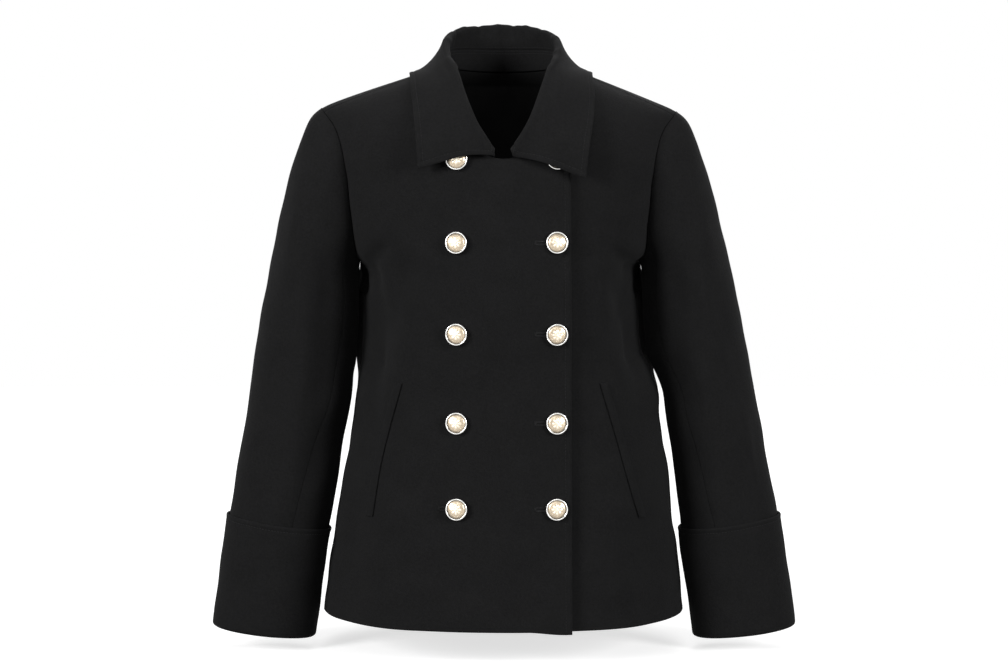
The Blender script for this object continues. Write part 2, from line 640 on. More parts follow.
def raiseFolds(points, normals, side):
    c = bodyCut
    x, z = points[..., 0], points[..., 2]
    high = foldHeight(x, z, frontFolds if side == "front" else backFolds)
    if side == "front":
        high = high * ease((np.abs(x) - c["lapX"]) / c["foldFadeX"]) + foldHeight(x, z, lapFolds)
    high = high + unevenness(points, c["unevenness"])
    return pressed(points + normals * (high * ease((ridgeHeight(x) - z) / c["foldFadeZ"]))[..., None], "body")


def lean(points):
    c = bodyCut
    points = points.copy()
    high = ease((points[..., 2] - c["hemZ"]) / (c["shoulderZ"] - c["hemZ"]))
    points[..., 0] += c["lean"] * high * ease(np.abs(points[..., 0]) / c["shoulderX"])
    left = ease((points[..., 0] - c["neckX"]) / (c["shoulderX"] - c["neckX"]))
    above = ease((points[..., 2] - c["shoulderDropZ"]) / (c["shoulderZ"] - c["shoulderDropZ"]))
    points[..., 2] -= c["leftShoulderDrop"] * left * above
    return points


# below the armhole the sleeve comes in before the side seam and the body swells behind it
def pressed(points, part):
    c, lower = pressCut, sideShifts
    x, y, z = points[..., 0], points[..., 1], points[..., 2]
    reach = np.where(x < 0, tableValue(c, "right", z), tableValue(c, "left", z))
    over = np.where(x < 0, tableValue(lower, part + "Right", z), tableValue(lower, part + "Left", z))
    swelling = np.exp(-(((y - c[part + "Y"]) / c["spread"]) ** 2))
    if part == "body":
        shift = reach * swelling * ease((np.abs(x) - c["bodyX"]) / c["bodyFade"])
        over = over * ease((np.abs(x) - lower["bodyX"]) / lower["fade"])
    else:
        shift = -reach * swelling * ease((c["sleeveX"] - np.abs(x)) / c["sleeveFade"])
        over = over * ease((lower["sleeveX"] - np.abs(x)) / lower["fade"])
    return points + np.stack([shift * np.sign(x) + over, np.zeros_like(x), np.zeros_like(x)], axis=-1)


def armholeFrame(sign):
    c = bodyCut
    top = np.array([c["shoulderX"] * sign, 0.0, c["shoulderZ"]])
    low = np.array([c["armpitX"] * sign, 0.0, c["armpitZ"]])
    rise = unit(top - low)
    return (top + low) / 2, np.array([rise[2], 0.0, -rise[0]]) * sign


def armholeInwards(points, sign):
    middle, outwards = armholeFrame(sign)
    across = middle - points
    return unit(across - (across @ outwards)[..., None] * outwards)


def neckOutwards(points):
    return unit(points * np.array([1.0, 1.0, 0.0]))


def bodyPanels():
    panels = {}
    for name, sign in (("front_right", -1), ("front_left", 1)):
        half, lap = bodyPoints("front", halfPanel("front"), sign), bodyPoints("front", lapStretch(), -sign)
        points = np.concatenate([half, lap], axis=1)
        normals = gridNormals(points, -sign)
        panels[name] = [raiseFolds(points, normals, "front"), normals]
    right, left = (bodyPoints("back", halfPanel("back"), sign) for sign in (-1, 1))
    points = np.concatenate([right, left[:, -2::-1]], axis=1)
    normals = gridNormals(points, -1)
    panels["back"] = [raiseFolds(points, normals, "back"), normals]
    return panels


# fronts and back get the same points along the side seams, and the same directions there and on the shoulders
def meetAtSeams(panels):
    c = bodyCut
    low = c["rowsBelow"]
    for name, sign in (("front_right", -1), ("front_left", 1)):
        order = slice(None) if sign < 0 else slice(None, None, -1)
        grids = [panels[name], [panels["back"][0][:, order], panels["back"][1][:, order]]]
        sideMiddle = (grids[0][0][:, 0] + grids[1][0][:, 0]) / 2
        rows = slice(0, low + 1)
        sharedSide = unit(grids[0][1][rows, 0] + grids[1][1][rows, 0])
        shoulder = slice(0, c["sideColumns"] + 1)
        sharedTop = unit(grids[0][1][-1, shoulder] + grids[1][1][-1, shoulder])
        for points, normals in grids:
            moved = sideMiddle[rows] - points[rows, 0]
            turnBy = sharedSide - normals[rows, 0]
            for column in range(c["blendColumns"]):
                fade = 1 - ease(column / c["blendColumns"])
                points[rows, column] += moved * fade
                turning = turnBy * max(1 - column / c["turnColumns"], 0)
                normals[rows, column] = unit(normals[rows, column] + turning)
            normals[-1, shoulder] = sharedTop
            run = runFromEdge(points, "left")[low:]
            for column in range(c["rimColumns"]):
                fade = np.clip(1 - run[:, column] / c["rimFade"], 0, 1)[:, None]
                across = armholeInwards(points[low:, column], sign)
                tilted = unit(normals[low:, column] * c["rimTilt"] - across)
                normals[low:, column] = unit(mix(normals[low:, column], tilted, fade))
            neck = slice(c["sideColumns"], c["sideColumns"] + c["neckColumns"] + 1)
            for row in range(1, c["neckRows"] + 1):
                fade = 1 - (row - 1) / c["neckRows"]
                normals[-row, neck] = unit(mix(normals[-row, neck], neckOutwards(points[-row, neck]), fade))


def setIn(points, normals):  # the left front lies under the overlap
    c = bodyCut
    beside = ease((c["lapEndX"] - points[..., 0]) / (c["lapEndX"] - c["lapFullX"]))
    below = ease((c["lapTopZ"] - points[..., 2]) / (c["lapTopZ"] - c["lapFullZ"]))
    high = ease((points[..., 2] - c["topLapStartZ"]) / (c["topLapFullZ"] - c["topLapStartZ"]))
    gap = mix(c["lapGap"], c["topLapGap"], high)
    return points - normals * ((c["thickness"] + gap) * beside * below)[..., None]


def partSeams(name, points):
    c = bodyCut
    half = c["seam"] / 2
    moves = np.zeros_like(points)
    last = points.shape[1] - 1
    for sign in {"front_right": (-1,), "front_left": (1,), "back": (-1, 1)}[name]:
        mirrored = name == "back" and sign > 0
        edge, step = (last, -1) if mirrored else (0, 1)
        rows = slice(0, c["rowsBelow"] + 1)
        moves[rows, edge] += unit(points[rows, edge + step] - points[rows, edge]) * half
        cols = [last - k if mirrored else k for k in range(c["sideColumns"] + 1)]
        moves[-1, cols] += unit(points[-2, cols] - points[-1, cols]) * half
        moves[c["rowsBelow"] :, edge] -= armholeFrame(sign)[1] * c["armholeSeam"]
    return points + moves


# along the shoulder the cloth meets at a slant
def slantShoulders(name, inwards):
    c, last = bodyCut, inwards.shape[1] - 1
    inwards = inwards.copy()
    for mirrored in (False, True) if name == "back" else (False,):
        for k in range(1, c["sideColumns"]):
            share = min(k / c["tiltFade"], 1.0, (c["sideColumns"] - k) / c["tiltFade"]) * c["shoulderTilt"]
            for row, part in c["tiltRows"]:
                inwards[row, last - k if mirrored else k, 1] += share * part
    return unit(inwards)


def bodySlots(name):
    c = bodyCut

    def slots(inner):
        x, z = inner[..., 0], inner[..., 2]
        facing = z < c["hemZ"] + c["hemFacing"]
        if name != "back":
            edge = c["lapX"] * (1 if name == "front_right" else -1)
            facing = facing | (np.abs(x - edge) < c["frontFacing"]) & (x * np.sign(edge) > c["facingPast"])
        return np.where(facing, 0, 1)

    return slots


def liftLap(over, facing):  # the overlap stands off a little, and its lower corner hangs lower
    c, x, z = bodyCut, over[..., 0], over[..., 2]
    nearEdge = ease((x - c["liftX"]) / (c["lapX"] - c["liftX"])) * ease((c["liftZ"] - z) / c["liftFade"])
    over = over + facing * (c["lapLift"] * nearEdge)[..., None]
    x, z = over[..., 0], over[..., 2]
    corner = ease((x - c["dropX"]) / c["dropFadeX"]) * ease((c["dropZ"] - z) / c["dropFadeZ"])
    over[..., 2] -= c["lapDrop"] * corner
    return over


def makeBody():
    panels = bodyPanels()
    meetAtSeams(panels)
    low = bodyCut["rowsBelow"]
    loops = {}
    for sign, name in ((-1, "front_right"), (1, "front_left")):
        back = panels["back"][0] if sign < 0 else panels["back"][0][:, ::-1]
        loops[sign] = (panels[name][0][low:, 0].copy(), back[low:, 0].copy())
    panels["front_left"][0] = setIn(*panels["front_left"])
    panels["front_right"][0] = liftLap(*panels["front_right"])
    made = {}
    for name, (points, normals) in panels.items():
        points = lean(partSeams(name, points))
        made[name] = {"points": points, "inwards": slantShoulders(name, -normals)}
    return made, loops


panels, armholes = makeBody()
bodyWalls = {}
bodyEdges = {
    "front_right": {"left": "seam", "right": "lapEdge", "bottom": "edge", "top": "shoulderEdge"},
    "front_left": {"left": "seam", "right": "edge", "bottom": "edge", "top": "shoulderEdge"},
    "back": {"left": "seam", "right": "seam", "bottom": "edge", "top": "shoulderEdge"},
}
for name, panel in panels.items():
    points, inwards = panel["points"], panel["inwards"]
    onShoulder = ease((np.abs(points[..., 0]) - bodyCut["neckX"]) / bodyCut["shoulderSeamFade"])
    onShoulder = onShoulder * (name != "back")  # the seam shows on the fronts
    bodyWalls[name] = shapeWall(points, inwards, bodyCut["thickness"], bodyEdges[name], marks=onShoulder)
    clothPiece(name, bodyWalls[name], [wool, lining], bodySlots(name))
print("body made")


# sleeves and cuffs
sleeveCut = {
    "thickness": 0.0026, "rows": 115, "slowing": 1.12, "capShare": 6 / 23, "capFade": 1.5,
    "anglesSettled": 0.45, "rimTilt": 0.3, "rimFade": 0.014, "rimRows": 5,
    "frontSeam": 8 / 20, "backSeam": 13 / 20,
    "foldStart": 0.10, "foldRise": 0.15, "foldFade": 0.08, "foldEnd": 0.86,
    "unevenness": 0.0004, "swellStart": 0.12, "endBack": 0.0045,
}
cuffCut = {
    "thickness": 0.0024, "lift": 0.0005, "start": 19 / 23, "turnRadius": 0.0045, "turnRows": 9,
    "inside": 0.026, "insideThickness": 0.0020, "insideGap": 0.0006, "insideStart": 0.003,
    "flare": 0.0004, "flareReach": 0.012,
}
sleeveRings = {
    "columns": ("along", "outX", "outZ", "inX", "inZ", "depth", "midY"),
    "rows": (
        (0.00, 0.1975, -0.0315, 0.1580, -0.2040, 0.0540, 0.000),
        (0.03, 0.2085, -0.0415, 0.1592, -0.2080, 0.0570, 0.000),
        (0.08, 0.2200, -0.0650, 0.1604, -0.2130, 0.0595, 0.000),
        (0.18, 0.2365, -0.1170, 0.1622, -0.2250, 0.0620, 0.001),
        (0.32, 0.2555, -0.1960, 0.1640, -0.2560, 0.0620, 0.002),
        (0.50, 0.2755, -0.2970, 0.1690, -0.3230, 0.0590, 0.000),
        (0.68, 0.2940, -0.4080, 0.1850, -0.4250, 0.0530, -0.009),
        (0.84, 0.3110, -0.5060, 0.2010, -0.5220, 0.0460, -0.018),
        (1.00, 0.3255, -0.6110, 0.2150, -0.6240, 0.0385, -0.027),
    ),
}
sleeveSeams = {
    "columns": ("along", "front", "back"),
    "rows": (
        (0.00, 141, 236), (0.43, 137, 238), (0.57, 130, 240),
        (0.68, 118, 242), (0.80, 110, 244), (1.00, 104, 245),
    ),
}
# each fold: angle1, along1, angle2, along2, spread, height, with angles in degrees and places in hundredths
bothSleeveFolds = (
    (60, 22, 95, 55, 16, 0.0035),
    (110, 30, 120, 62, 15, -0.0035),
    (75, 55, 60, 82, 18, -0.0022),
    (235, 28, 250, 60, 18, -0.0040),
    (285, 45, 250, 74, 18, 0.0035),
    (330, 50, 290, 80, 18, -0.0022),
)
sleeveFolds = {
    "right": (
        *bothSleeveFolds,
        (150, 48, 105, 55, 5.0, -0.0018),
        (155, 55, 112, 61, 5.0, 0.0014),
        (160, 62, 120, 66, 5.0, -0.0016),
        (205, 50, 250, 57, 5.5, -0.0017),
        (210, 60, 255, 64, 5.5, 0.0013),
        (40, 18, 85, 26, 7.0, 0.0012),
        (140, 20, 110, 32, 6.0, -0.0013),
        (230, 18, 275, 30, 7.0, -0.0013),
        (95, 70, 60, 76, 6.0, -0.0011),
        (300, 66, 345, 74, 7.0, -0.0010),
    ),
    "left": (
        *bothSleeveFolds,
        (80, 20, 74, 40, 8.0, 0.0012),
        (76, 41, 52, 68, 9.0, 0.0034),
        (150, 50, 118, 54, 5.0, -0.0017),
        (158, 58, 110, 63, 5.0, 0.0013),
        (155, 66, 122, 70, 5.0, -0.0014),
        (208, 47, 255, 55, 5.5, -0.0017),
        (212, 58, 250, 66, 5.5, 0.0013),
        (136, 18, 104, 28, 6.0, -0.0013),
        (232, 20, 278, 28, 7.0, -0.0012),
        (90, 72, 55, 78, 6.0, -0.0010),
        (305, 62, 340, 72, 7.0, -0.0011),
    ),
}


def sleeveValue(name, along):
    return tableValue(sleeveRings, name, along)


def sleeveRing(sign, along, angles):
    outer = np.array([sleeveValue("outX", along), 0.0, sleeveValue("outZ", along)])
    inner = np.array([sleeveValue("inX", along), 0.0, sleeveValue("inZ", along)])
    points = (outer + inner) / 2 + np.cos(angles)[:, None] * (outer - inner) / 2
    points[:, 1] = float(sleeveValue("midY", along)) - float(sleeveValue("depth", along)) * np.sin(angles)
    points[:, 0] *= sign
    return points


def sleeveGrid(side, sign, loop):
    c = sleeveCut
    front, back = loop
    ring = np.concatenate([front[::-1], back[1:-1]])
    _, outwards = armholeFrame(sign)
    count = len(ring)
    top, lowest = ring[0], ring[len(front) - 1]
    centre = (top + lowest) / 2
    rise = top - centre
    forward = -(ring[:, 1] - centre[1]) / float(sleeveValue("depth", 0.0))
    firstAngles = np.unwrap(np.arctan2(forward, (ring - centre) @ rise / (rise @ rise)))
    shares = (np.arange(c["rows"] + 1) / c["rows"]) ** c["slowing"]
    places = (0, c["frontSeam"] * count, c["backSeam"] * count, count)
    angles = []
    for along in shares:
        seams = (0, *(float(tableValue(sleeveSeams, seam, along)) for seam in ("front", "back")), 360)
        settled = np.interp(np.arange(count), places, np.radians(seams))
        angles.append(mix(firstAngles, settled, ease(along / c["anglesSettled"])))
    angles = np.array(angles)
    grid = np.array([sleeveRing(sign, along, ringAngles) for along, ringAngles in zip(shares, angles)])
    error = ring - grid[0]
    for row in range(len(grid)):
        grid[row] += error * (1 - ease(row / (c["capShare"] * c["rows"]))) ** c["capFade"]
    normals = gridNormals(grid, sign, closed=True)
    high = foldHeight(np.degrees(angles), shares[:, None] * 100 + np.zeros_like(angles), sleeveFolds[side])
    fade = ease((shares - c["foldStart"]) / c["foldRise"]) * ease((c["foldEnd"] - shares) / c["foldFade"])
    swell = unevenness(grid, c["unevenness"]) * ease(shares / c["swellStart"])[:, None]
    grid = pressed(grid + normals * (high * fade[:, None] + swell)[..., None], "sleeve")
    normals = gridNormals(grid, sign, closed=True)
    rim = -unit(armholeInwards(grid[0], sign) + outwards * c["rimTilt"])
    run = runFromEdge(grid, "bottom")
    for row in range(c["rimRows"]):
        fade = np.clip(1 - run[row] / c["rimFade"], 0, 1)[:, None]
        normals[row] = unit(mix(normals[row], rim, fade))
    return grid, normals


def cuffWall(grid, normals):
    c, cloth = cuffCut, sleeveCut["thickness"]
    first = round(c["start"] * sleeveCut["rows"])
    rows, facing = grid[first:], normals[first:]
    lift = c["lift"] + c["thickness"]
    run = runFromEdge(rows, "top")
    flare = c["flare"] * ease(1 - runFromEdge(rows, "bottom") / c["flareReach"])
    keep = [row for row in range(len(rows)) if run[row].min() > c["turnRadius"]]
    outer = [rows[row] + facing[row] * (lift + flare[row])[:, None] for row in keep]
    inwards = [-facing[row] for row in keep]
    thick = [np.full(grid.shape[1], c["thickness"]) for _ in keep]
    down = unit(rows[-1] - rows[-4])
    facingEnd = facing[-1]
    innerFace = -(cloth + c["insideGap"] + c["insideThickness"])
    radius = (lift - innerFace) / 2
    centre = rows[-1] - down * radius + facingEnd * (lift + innerFace) / 2
    for step in range(c["turnRows"] + 1):
        turn = math.pi * step / c["turnRows"]
        out = facingEnd * math.cos(turn) + down * math.sin(turn)
        outer.append(centre + out * radius)
        inwards.append(-out)
        thick.append(np.full(grid.shape[1], mix(c["thickness"], c["insideThickness"], step / c["turnRows"])))
    for row in range(len(rows) - 1, -1, -1):
        if radius + c["insideStart"] < run[row].min() < c["inside"]:
            outer.append(rows[row] + facing[row] * innerFace)
            inwards.append(facing[row])
            thick.append(np.full(grid.shape[1], c["insideThickness"]))
    outer, inwards, thick = np.array(outer), np.array(inwards), np.array(thick)
    return shapeWall(outer, inwards, thick, {"bottom": "cuffEdge", "top": "edge"}, closed=True)


cuffWalls = {}
sleeveEdges = {"left": "seam", "right": "seam", "bottom": "seam", "top": "edge"}
for side, sign in (("right", -1), ("left", 1)):
    grid, normals = sleeveGrid(side, sign, armholes[sign])
    count = grid.shape[1]
    frontSeam, backSeam = round(sleeveCut["frontSeam"] * count), round(sleeveCut["backSeam"] * count)
    keepRows = runFromEdge(grid, "top").max(axis=1) > sleeveCut["endBack"]
    outwards = armholeFrame(sign)[1]
    for name, columns in (
        ("sleeve_top_", [k % count for k in range(backSeam, count + frontSeam + 1)]),
        ("sleeve_under_", list(range(frontSeam, backSeam + 1))),
    ):
        points, inwards = grid[keepRows][:, columns].copy(), -normals[keepRows][:, columns]
        points[:, 0] += unit(points[:, 1] - points[:, 0]) * bodyCut["seam"] / 2
        points[:, -1] += unit(points[:, -2] - points[:, -1]) * bodyCut["seam"] / 2
        points[0] += outwards * bodyCut["armholeSeam"]
        wall = shapeWall(lean(points), inwards, sleeveCut["thickness"], sleeveEdges)
        clothPiece(name + side, wall, [wool, lining], lambda inner: np.ones(inner.shape[:2], int))
    cuffWalls[side] = cuffWall(lean(grid), normals)
    clothPiece("cuff_" + side, cuffWalls[side], [wool])
print("sleeves and cuffs made")


# collar
collarCut = {
    "thickness": 0.0030, "leafThickness": 0.002, "startX": 0.0095, "standShare": 0.5, "seam": 0.0003,
    "rollRadius": 0.0048, "rollMostShare": 0.45, "leastRise": 0.002,
    "rest": 0.0014, "clear": 0.0014, "standClear": 0.0016,
    "overButton": 0.0062, "overButtonEnd": 0.036, "overButtonFade": 0.020,
    "bows": {"right": 0.0110, "left": 0.0062}, "bowEnd": 0.15, "bend": 0.35,
    "columns": 80, "standRows": 4, "insideRows": 4, "rollRows": 8, "leafRows": 12, "finerBy": 3,
    "rounds": 12, "lastRounds": 3, "smoothing": 0.5, "unevenness": 0.00018, "swellSeed": 9,
    "puckerAt": 0.7, "puckerReach": 0.6,
}
collarRows = {
    "columns": ("round", "rollX", "rollY", "rollZ", "edgeX", "edgeY", "edgeZ"),
    "right": (
        (0.00, 0.0095, -0.1125, -0.0745, 0.0925, -0.1230, -0.0965),
        (0.12, 0.0262, -0.1040, -0.0485, 0.0952, -0.1120, -0.0625),
        (0.28, 0.0435, -0.0730, -0.0135, 0.0993, -0.0820, -0.0290),
        (0.42, 0.0525, -0.0360, 0.0150, 0.1040, -0.0250, 0.0025),
        (0.58, 0.0590, 0.0050, 0.0390, 0.1030, 0.0350, -0.0020),
        (0.75, 0.0500, 0.0440, 0.0550, 0.0830, 0.0780, -0.0170),
        (0.88, 0.0260, 0.0620, 0.0598, 0.0450, 0.0980, -0.0260),
        (1.00, 0.0000, 0.0670, 0.0605, 0.0000, 0.1030, -0.0290),
    ),
    "left": (
        (0.00, 0.0060, -0.1125, -0.0745, 0.0880, -0.1230, -0.1070),
        (0.12, 0.0220, -0.1040, -0.0495, 0.0925, -0.1120, -0.0700),
        (0.28, 0.0390, -0.0730, -0.0150, 0.0982, -0.0820, -0.0330),
        (0.42, 0.0485, -0.0360, 0.0135, 0.0965, -0.0250, -0.0015),
        (0.58, 0.0550, 0.0050, 0.0365, 0.0950, 0.0350, -0.0050),
        (0.75, 0.0460, 0.0440, 0.0530, 0.0810, 0.0780, -0.0170),
        (0.88, 0.0225, 0.0620, 0.0592, 0.0440, 0.0980, -0.0260),
        (1.00, 0.0000, 0.0670, 0.0605, 0.0000, 0.1030, -0.0290),
    ),
}
# soft vertical puckers inside the roll: place round the collar, half width, height
puckers = (
    (0.40, 0.018, 0.0014), (0.47, 0.014, -0.0014), (0.62, 0.020, 0.0012), (0.74, 0.016, -0.0016),
    (0.80, 0.015, 0.0013), (0.88, 0.013, -0.0015), (0.97, 0.018, 0.0012), (1.05, 0.014, -0.0014),
    (1.12, 0.015, 0.0014), (1.20, 0.013, -0.0016), (1.33, 0.018, 0.0013), (1.48, 0.018, 0.0014),
    (1.57, 0.014, -0.0014),
)
buttonPlaces = {
    "rowsZ": (-0.0865, -0.1760, -0.2745, -0.3710, -0.4635), "spread": 0.054, "middleX": 0.003, "face": 0.0012,
}


def surfaceOf(points, inwards):
    rows, cols = points.shape[:2]
    facing = np.cross(points[0, 1] - points[0, 0], points[1, 1] - points[0, 0]) @ inwards[0, 0]
    index = np.arange(rows * cols).reshape(rows, cols)
    a, b, c, d = index[:-1, :-1].ravel(), index[:-1, 1:].ravel(), index[1:, 1:].ravel(), index[1:, :-1].ravel()
    faces = np.concatenate([np.stack([a, b, c], axis=1), np.stack([a, c, d], axis=1)])
    if facing > 0:
        faces = faces[:, ::-1]
    return BVHTree.FromPolygons([Vector(p) for p in points.reshape(-1, 3)], faces.tolist())


def pushOut(point, surfaces, lift):
    found = [surface.find_nearest(Vector(point)) for surface in surfaces]
    place, normal = min(found, key=lambda hit: hit[3])[:2]
    height = float((point - np.array(place)) @ np.array(normal))
    return np.array(normal) * max(lift - height, 0.0)


def buttonLift(point):
    c, lift = collarCut, 0.0
    if point[1] < 0:
        for side in (-1, 1):
            x = point[0] - buttonPlaces["middleX"] - side * buttonPlaces["spread"]
            away = math.hypot(x, point[2] - buttonPlaces["rowsZ"][0])
            lift = max(lift, c["overButton"] * float(ease((c["overButtonEnd"] - away) / c["overButtonFade"])))
    return lift


def neckLine():  # points of the inner neckline with their places round the collar, 0 to 2
    c = bodyCut
    marks = 7 + 5 * (1 - neckShares()) ** (1 / 1.7)
    neck = np.arange(c["sideColumns"], c["sideColumns"] + c["neckColumns"] + 1)
    back = panels["back"]
    last = back["points"].shape[1] - 1
    halves = []
    for name in ("front_right", "front_left"):
        panel = panels[name]
        front = panel["points"][-1, neck] + panel["inwards"][-1, neck] * c["thickness"]
        backOrder = neck if name == "front_right" else last - neck
        rear = back["points"][-1, backOrder] + back["inwards"][-1, backOrder] * c["thickness"]
        places = (12 - marks) / 10
        x = np.abs(front[:, 0])
        start = collarCut["startX"]
        nextX = float(np.interp(0.1, places[::-1], x[::-1]))
        places = np.where(places < 0.1, 0.1 * (x - start) / (nextX - start), places)
        inside = places >= -0.02
        line = np.concatenate([front[inside][::-1], rear[1:]])
        at = np.concatenate([places[inside][::-1], (marks[1:] - 2) / 10])
        halves.append((at, line))
    (rightAt, rightLine), (leftAt, leftLine) = halves
    at = np.concatenate([rightAt, 2 - leftAt[:-1][::-1]])
    line = np.concatenate([rightLine, leftLine[:-1][::-1]])
    wanted = np.linspace(0, 2, collarCut["columns"] + 1)
    return wanted, np.stack([np.interp(wanted, at, line[:, axis]) for axis in range(3)], axis=-1)


def collarColumn(neck, alongNeck, roll, edge, bow, surfaces):
    c = collarCut
    rise = roll - neck
    height = float(np.linalg.norm(rise))
    upwards = rise / height
    outwards = neckOutwards(neck)
    outwards = unit(outwards - (outwards @ upwards) * upwards)
    radius = min(c["rollRadius"], height * c["rollMostShare"])
    seamAt = min(height * c["standShare"], height - radius - c["leastRise"])
    offNeck = unit(upwards - (upwards @ alongNeck) * alongNeck) * c["standClear"]
    standRows, insideRows = c["standRows"], c["insideRows"]
    stand = [neck + mix(offNeck, upwards * (seamAt - c["seam"]), k / standRows) for k in range(standRows + 1)]
    leaf = [neck + upwards * mix(seamAt, height - radius, k / insideRows) for k in range(insideRows + 1)]
    centre = roll - upwards * radius + outwards * c["rollRadius"]
    for step in range(1, c["rollRows"] + 1):
        turn = math.pi * step / c["rollRows"]
        leaf.append(centre - outwards * c["rollRadius"] * math.cos(turn) + upwards * radius * math.sin(turn))
    start = leaf[-1]
    lift = c["thickness"] + c["rest"]
    edge = edge + pushOut(edge, surfaces, lift + buttonLift(edge))
    reach = float(np.linalg.norm(edge - start))
    bend = start + unit(unit(edge - start) - upwards / 2) * reach * c["bend"]
    for step in range(1, c["leafRows"] + 1):
        share = step / c["leafRows"]
        point = start * (1 - share) ** 2 + bend * 2 * share * (1 - share) + edge * share**2
        point = point + np.array([0.0, 0.0, bow]) * math.sin(math.pi * share)
        leaf.append(point + pushOut(point, surfaces, lift + buttonLift(point)))
    return stand, leaf


def smoothed(grid):
    middle = grid.copy()
    middle[1:-1, 1:-1] = (grid[:-2, 1:-1] + grid[2:, 1:-1] + grid[1:-1, :-2] + grid[1:-1, 2:]) / 4
    return middle


def clearUnderside(grid, surfaces, firstRow):
    c = collarCut
    rows, cols = grid.shape[:2]
    for attempt in range(c["rounds"]):
        under = grid - gridNormals(grid, 1) * c["thickness"]
        pushes = np.zeros_like(grid)
        for row in range(firstRow, rows):
            for col in range(cols):
                pushes[row, col] = pushOut(under[row, col], surfaces, c["clear"])
        grid = grid + pushes
        if attempt < c["rounds"] - c["lastRounds"]:
            for _ in range(2):
                grid[firstRow:-1, 1:-1] = mix(grid, smoothed(grid), c["smoothing"])[firstRow:-1, 1:-1]
    return grid


def makeCollar():
    c = collarCut
    places, neck = neckLine()
    alongNeck = unit(np.gradient(neck, axis=0))
    surfaces = [surfaceOf(*panels[name].values()) for name in ("front_right", "back")]
    shown = slice(0, bodyCut["sideColumns"] + 1)
    surfaces.append(surfaceOf(*(part[:, shown] for part in panels["front_left"].values())))
    standRows, leafRows = [], []
    for index, place in enumerate(places):
        side, sign = ("right", -1) if place < 1 else ("left", 1)
        at = min(place, 2 - place)
        table = {"columns": collarRows["columns"], "rows": collarRows[side]}
        parts = ([float(tableValue(table, part + axis, at)) for axis in "XYZ"] for part in ("roll", "edge"))
        roll, edge = map(np.array, parts)
        roll[0] *= sign
        edge[0] *= sign
        bow = c["bows"][side] * (1 - float(ease(at / c["bowEnd"])))
        stand, leaf = collarColumn(neck[index], alongNeck[index], roll, edge, bow, surfaces)
        standRows.append(stand)
        leafRows.append(leaf)
    standGrid, leafGrid = np.array(standRows).transpose(1, 0, 2), np.array(leafRows).transpose(1, 0, 2)
    normals = gridNormals(np.concatenate([standGrid, leafGrid]), 1)
    standNormals = normals[: len(standGrid)]
    standNormals[0] = -neckOutwards(neck)
    standNormals[-1] = normals[len(standGrid)]
    behind = standGrid - standNormals * c["thickness"]
    surfaces.append(surfaceOf(behind, standNormals))
    leafGrid = clearUnderside(leafGrid, surfaces, c["insideRows"] + 1 + c["rollRows"])
    leafNormals = gridNormals(np.concatenate([standGrid, leafGrid]), 1)[len(standGrid) :]
    leafNormals[0] = normals[len(standGrid)]
    return standGrid, standNormals, leafGrid, leafNormals


def finerBoth(grid, steps):
    return finer(finer(grid, steps, 0), steps, 1)


standGrid, standNormals, leafGrid, leafNormals = makeCollar()
steps = collarCut["finerBy"]
standGrid, standNormals = finerBoth(standGrid, steps), unit(finerBoth(standNormals, steps))
leafGrid, leafNormals = finerBoth(leafGrid, steps), unit(finerBoth(leafNormals, steps))
places = np.linspace(0, 2, leafGrid.shape[1])
rollRow = (collarCut["insideRows"] + collarCut["rollRows"] // 2) * steps
inRoll = np.arange(len(leafGrid)) - rollRow * collarCut["puckerAt"]
inRoll = np.exp(-((inRoll / (rollRow * collarCut["puckerReach"])) ** 2))
pucker = sum(height * np.exp(-(((places - at) / width) ** 2)) for at, width, height in puckers)
leafHigh = pucker[None] * inRoll[:, None]
leafHigh = leafHigh + unevenness(leafGrid, collarCut["unevenness"], collarCut["swellSeed"])
leafGrid = leafGrid + leafNormals * leafHigh[..., None]
standEdges = {"bottom": "seam", "top": "seam", "left": "edge", "right": "edge"}
leafEdges = {"left": "leafEdge", "right": "leafEdge", "top": "leafEdge", "bottom": "seam"}
standWall = shapeWall(standGrid, -standNormals, collarCut["thickness"], standEdges)
leafWall = shapeWall(leafGrid, -leafNormals, collarCut["leafThickness"], leafEdges)
clothPiece("collar_stand", standWall, [wool])
clothPiece("collar_fall", leafWall, [wool])
print("collar made")


# strip inside the back of the neck
stripCut = {"thickness": 0.0015, "lift": 0.0008, "rows": 5}
back = panels["back"]
neckColumns = slice(bodyCut["sideColumns"], back["points"].shape[1] - bodyCut["sideColumns"])
stripPoints, stripIn = (part[-1 - stripCut["rows"] :, neckColumns] for part in back.values())
stripPoints = stripPoints + stripIn * (bodyCut["thickness"] + stripCut["lift"])
stripWall = shapeWall(stripPoints[:, 1:-1], stripIn[:, 1:-1], stripCut["thickness"], allTurned)
clothPiece("neck_facing", stripWall, [wool])


# pocket welts
weltCut = {
    "thickness": 0.0014, "lift": 0.0005, "width": 0.008, "crown": 0.0005,
    "steps": 48, "across": 7, "slopeReach": 0.008,
    "right": ((-0.1185, -0.330), (-0.1300, -0.372), (-0.1415, -0.418), (-0.1510, -0.477)),
    "left": ((0.1120, -0.330), (0.1265, -0.378), (0.1410, -0.430), (0.1550, -0.479)),
}


def onFront(surface, x, z):
    reach = weltCut["slopeReach"]

    def meet(atX, atZ):
        return np.array(surface.ray_cast(Vector((atX, -1.0, atZ)), Vector((0.0, 1.0, 0.0)))[0])

    across = meet(x + reach, z) - meet(x - reach, z)
    up = meet(x, z + reach) - meet(x, z - reach)
    return meet(x, z), unit(np.cross(across, up))


